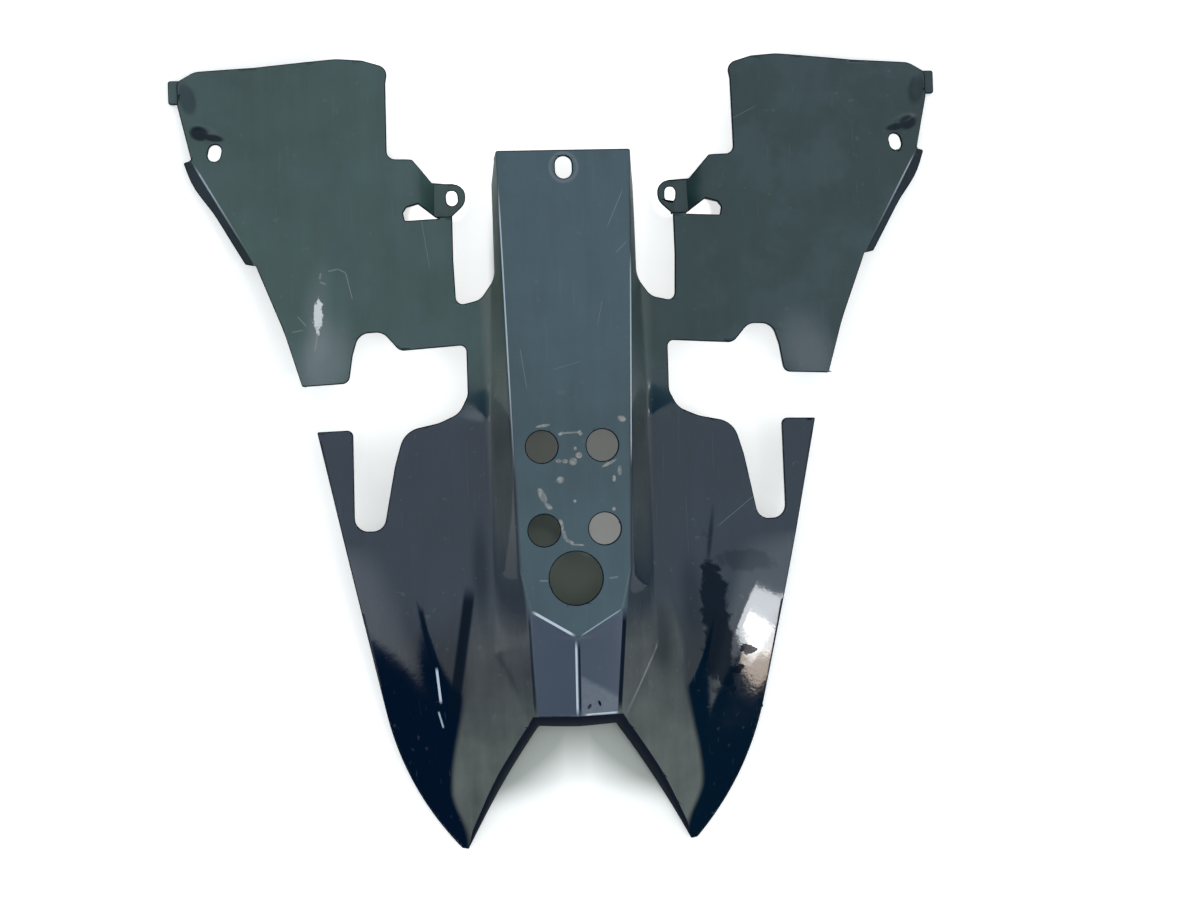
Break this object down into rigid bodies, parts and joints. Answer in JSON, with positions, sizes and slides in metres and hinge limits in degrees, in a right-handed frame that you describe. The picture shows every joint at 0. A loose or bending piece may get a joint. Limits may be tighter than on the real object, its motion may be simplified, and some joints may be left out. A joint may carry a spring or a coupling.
{
  "type": "motorcycle undertail",
  "caption": "Moulded gloss black motorcycle undertail: raised centre plate with bolt and wiring holes, ear panels with slotted fixings, and wings ending in a tail notch.",
  "frame": {"origin": "middle of the bounding box's bottom face, on the surface that the part rests on with its outer face up", "axes": "+Z out of the outer face, square to the flat centre plate; +Y towards the front of the motorcycle, from the tips of the wings to the ears; +X across the part, which is the right-hand side of the view with +Y up"},
  "size_m": [0.3826, 0.3902, 0.028],
  "materials": {
    "undertail": "glossy moulded black plastic, dusty and lightly scuffed"
  },
  "bodies": {
    "root": {"undertail": "undertail"}
  },
  "joints": []
}
